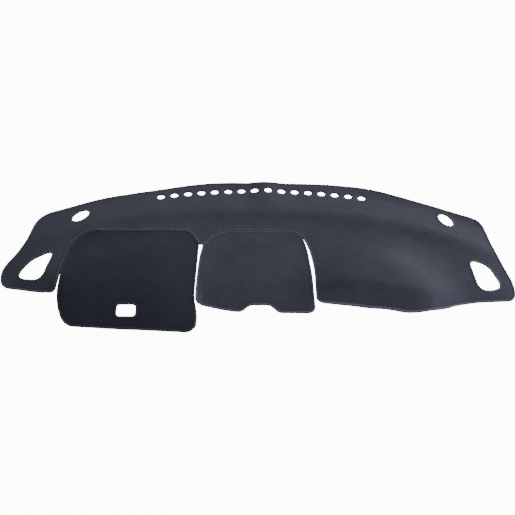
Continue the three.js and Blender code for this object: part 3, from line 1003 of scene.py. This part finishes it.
@dataclass
class CoverMat:
    """The whole mat: its pattern, and the pieces that are made from it."""

    relief: Relief = field(default_factory=Relief)
    pieces: dict[str, Piece] = field(default_factory=dict)
    lock_sunk: float = 0.35
    zigzag_sunk: float = 0.1

    def vent_centres(self) -> Array:
        """The middles of the vents."""
        x = VENT_ROW_X + (np.arange(VENT_COUNT) - (VENT_COUNT - 1) / 2) * VENT_PITCH
        y = VENT_CROWN[1] - (x - VENT_CROWN[0]) ** 2 / (2 * VENT_ROW_RADIUS)
        return np.stack([x, y], axis=1)

    def __post_init__(self) -> None:
        """Works out the finished edges of the panels and holes."""
        self.instrument_edge = edge_through(INSTRUMENT_SEAM + INSTRUMENT_FREE)
        self.centre_edge = edge_through(CENTRE_SEAM + CENTRE_FREE)
        self.main_edge = edge_through(self.main_corners())
        self.sensor_edge = edge_through(SENSOR_WINDOW, WINDOW_STEP)
        self.hole_edges = {
            "left_speaker_hole": ellipse(*LEFT_SPEAKER, SPEAKER_SIDES),
            "right_speaker_hole": ellipse(*RIGHT_SPEAKER, SPEAKER_SIDES),
            "left_demister_hole": edge_through(LEFT_DEMISTER, DEMISTER_STEP),
            "right_demister_hole": edge_through(RIGHT_DEMISTER, DEMISTER_STEP),
        }
        round_vent = (VENT_RADIUS, VENT_RADIUS, 0, VENT_SIDES)
        self.vents = [ellipse(x, y, *round_vent) for x, y in self.vent_centres()]

    @staticmethod
    def main_corners() -> list[Corner]:
        """The main panel's corners: its free edge, then both seams set back by the seam gap."""
        corners = list(MAIN_FREE)
        for seam in (INSTRUMENT_SEAM, CENTRE_SEAM):
            points = np.array([corner[:2] for corner in seam], float)
            ways = np.diff(points, axis=0)
            ways /= np.linalg.norm(ways, axis=1, keepdims=True)
            into, out = np.vstack([ways[:1], ways]), np.vstack([ways, ways[-1:]])
            moved = pushed(points, into, out, SEAM_GAP)
            corners += [(x, y, corner[2]) for (x, y), corner in zip(moved.tolist(), seam)]
        return corners

    def keep(self, piece: Piece, node: str | None = None) -> None:
        """Ties a finished piece to the frame and reports it."""
        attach(piece, "root")
        if node:
            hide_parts(node)
        self.pieces[piece.name] = piece
        LOG.info("%s: %d faces", piece.name, len(piece.data.polygons))

    def build(self) -> None:
        """Makes every piece of the mat."""
        felt = FeltFinish().material()
        # A darker copy of the felt: painted shade for the instrument flap.
        shaded_felt = FeltFinish("Charcoal felt, nap laid forward", SHADED_FELT).material()
        tape = TapeFinish().material()
        # A darker copy of the tape: painted shade for the instrument flap and the sensor window, with a
        # weaker painted highlight.
        shaded_tape = TapeFinish("Edge tape in shade", SHADED_TAPE, SHADED_CREST).material()
        thread = ThreadFinish("Grey thread", THREAD_GREY).material()
        seal = ThreadFinish("Sealed rim", SEAL_BLACK, roughness=0.5).material()
        holes = list(self.hole_edges.values())
        main = FeltPanel("main_panel", self.main_edge, (1.44, 0.50), 0.39, holes, self.vents)
        windows = [self.sensor_edge]
        instrument = FeltPanel("instrument_flap", self.instrument_edge, (0.38, 0.355), 0.126, windows)
        centre = FeltPanel("centre_flap", self.centre_edge, (0.33, 0.29), 0.085)
        panels = [main, instrument, centre]
        for panel in panels:
            # The instrument flap gets the copy of the felt with painted shade.
            finish = shaded_felt if panel is instrument else felt
            self.keep(panel.build(self.relief, finish), panel.node)
        bindings = [EdgeBinding(panel.node, panel.edge) for panel in panels]
        bound_holes = {"sensor_window": self.sensor_edge, **self.hole_edges}
        bindings += [EdgeBinding(hole, edge, Side.OUTSIDE) for hole, edge in bound_holes.items()]
        for binding in bindings:
            # The tape round the instrument flap and the sensor window gets the copy with painted shade.
            finish = shaded_tape if binding.key in ("instrument_flap", "sensor_window") else tape
            self.keep(binding.build(self.relief, finish), f"{binding.key}_binding")
        self.sew(bindings, thread)
        self.keep(VentRims().build(self.relief, self.vent_centres(), seal))

    def sew(self, bindings: list[EdgeBinding], thread: Material) -> None:
        """Lays the stitches of every binding, over and under, and the seams that join the flaps."""
        row = StitchRow(StitchKind.LOCK, pitch=4.0, length=3.1, radius=0.42)
        lift = FELT / 2 + COVER - self.lock_sunk
        for binding in bindings:
            paths, outs = [], []
            for way in (1, -1):
                path = binding.at(self.relief, binding.stitch_at, way * lift)
                _, normals = self.relief.surface(path)
                paths.append(path)
                outs.append(normals * way)
            self.keep(row.lay(f"thread_{binding.key}", paths, outs, True, thread))
        joining = StitchRow(StitchKind.ZIGZAG, pitch=4.5, length=7.5, radius=0.45)
        for name, corners in (("instrument_flap", INSTRUMENT_SEAM), ("centre_flap", CENTRE_SEAM)):
            track = edge_through(corners)
            last = int(np.argmin(np.linalg.norm(track - np.array(corners[-1][:2]), axis=1)))
            track = inset(track, SEAM_GAP / 2)[: last + 1]
            base, normals = self.relief.surface(track)
            path = base + normals * (FELT + 2 * COVER - self.zigzag_sunk)
            self.keep(joining.lay(f"thread_seam_{name}", [path], [normals], False, thread))


@dataclass(frozen=True)
class Softbox:
    """A large soft lamp, aimed at the mat."""

    name: str
    azimuth: float
    elevation: float
    power: float
    size: float
    distance: float = 4.0

    def build(self) -> None:
        """Sets the lamp up; azimuth 0 is behind the mat and 90 on its right."""
        azimuth, elevation = math.radians(self.azimuth), math.radians(self.elevation)
        level = math.cos(elevation)
        back = np.array([math.sin(azimuth) * level, math.cos(azimuth) * level, math.sin(elevation)])
        light = bpy.data.lights.new(self.name, "AREA")
        light.shape = "DISK"
        light.size = self.size
        light.energy = self.power
        right = np.cross([0, 0, 1.0], back)
        right /= np.linalg.norm(right)
        up = np.cross(back, right)
        shown(self.name, light).matrix_world = axes_matrix(right, up, back, back * self.distance)


def axes_matrix(right: Array, up: Array, back: Array, place: Array) -> Matrix:
    """A matrix from three axes and a place."""
    matrix = Matrix([[*row] for row in np.stack([right, up, back], axis=1)]).to_4x4()
    matrix.translation = place.tolist()
    return matrix


@dataclass(frozen=True)
class Studio:
    """The pale floor, the soft light and the camera at the photograph's angle."""

    elevation: float = 48.0
    distance: float = 3.0
    focal: float = 1061.6
    picture: float = 515.0
    roll: float = 0.8
    target: tuple[float, float, float] = (0.0, 0.0, 20.0)
    backdrop: float = 12.0
    floor_glow: float = 0.25
    floor_reach: float = 8.0
    floor_level: float = -0.0008
    surround: float = 0.4

    def set_camera(self) -> None:
        """Sets up the camera."""
        elevation, roll = math.radians(self.elevation), math.radians(self.roll)
        back = np.array([0.0, -math.cos(elevation), math.sin(elevation)])
        level = np.array([1.0, 0.0, 0.0])
        above = np.array([0.0, math.sin(elevation), math.cos(elevation)])
        right = level * math.cos(roll) + above * math.sin(roll)
        up = above * math.cos(roll) - level * math.sin(roll)
        data = bpy.data.cameras.new("camera")
        data.sensor_width = 36.0
        data.lens = self.focal / self.picture * data.sensor_width
        camera = shown("camera", data)
        place = placed(np.array(self.target)) + back * self.distance
        camera.matrix_world = axes_matrix(right, up, back, place)
        bpy.context.scene.camera = camera

    def lay_floor(self) -> None:
        """Lays the floor just under the mat; it glows white, as a backdrop lit from below does."""
        sides = ((-1, -1), (1, -1), (1, 1), (-1, 1))
        corners = [(x * self.floor_reach, y * self.floor_reach, self.floor_level) for x, y in sides]
        mesh = bpy.data.meshes.new("floor")
        mesh.from_pydata(corners, [], [(0, 1, 2, 3)])
        material, wire = bare_material("White floor")
        seen = wire.add("ShaderNodeLightPath").outputs["Is Camera Ray"]
        glow = wire.math("MULTIPLY_ADD", seen, self.backdrop - self.floor_glow, self.floor_glow)
        wire.dress(
            {
                "Base Color": (0.8, 0.8, 0.8, 1.0),
                "Roughness": 0.9,
                "Emission Color": WHITE,
                "Emission Strength": glow,
            }
        )
        mesh.materials.append(material)
        shown("floor", mesh)

    def light(self) -> None:
        """Sets up the lamps and the even light all round."""
        world = bpy.data.worlds.new("studio")
        world.use_nodes = True
        even = world.node_tree.nodes["Background"].inputs
        even["Color"].default_value = WHITE
        even["Strength"].default_value = self.surround
        bpy.context.scene.world = world
        for lamp in (
            Softbox("back_lamp", azimuth=-9, elevation=22, power=62.0, size=2.0),
            Softbox("right_lamp", azimuth=84, elevation=9, power=155.0, size=1.8),
            Softbox("front_fill", azimuth=128, elevation=24, power=72.0, size=2.6),
        ):
            lamp.build()


def main() -> None:
    """Builds the mat and the studio."""
    logging.basicConfig(level=logging.INFO, format="%(name)s: %(message)s")
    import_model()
    studio = Studio()
    studio.set_camera()
    studio.lay_floor()
    studio.light()
    CoverMat().build()
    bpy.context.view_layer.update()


if __name__ == "__main__":
    main()
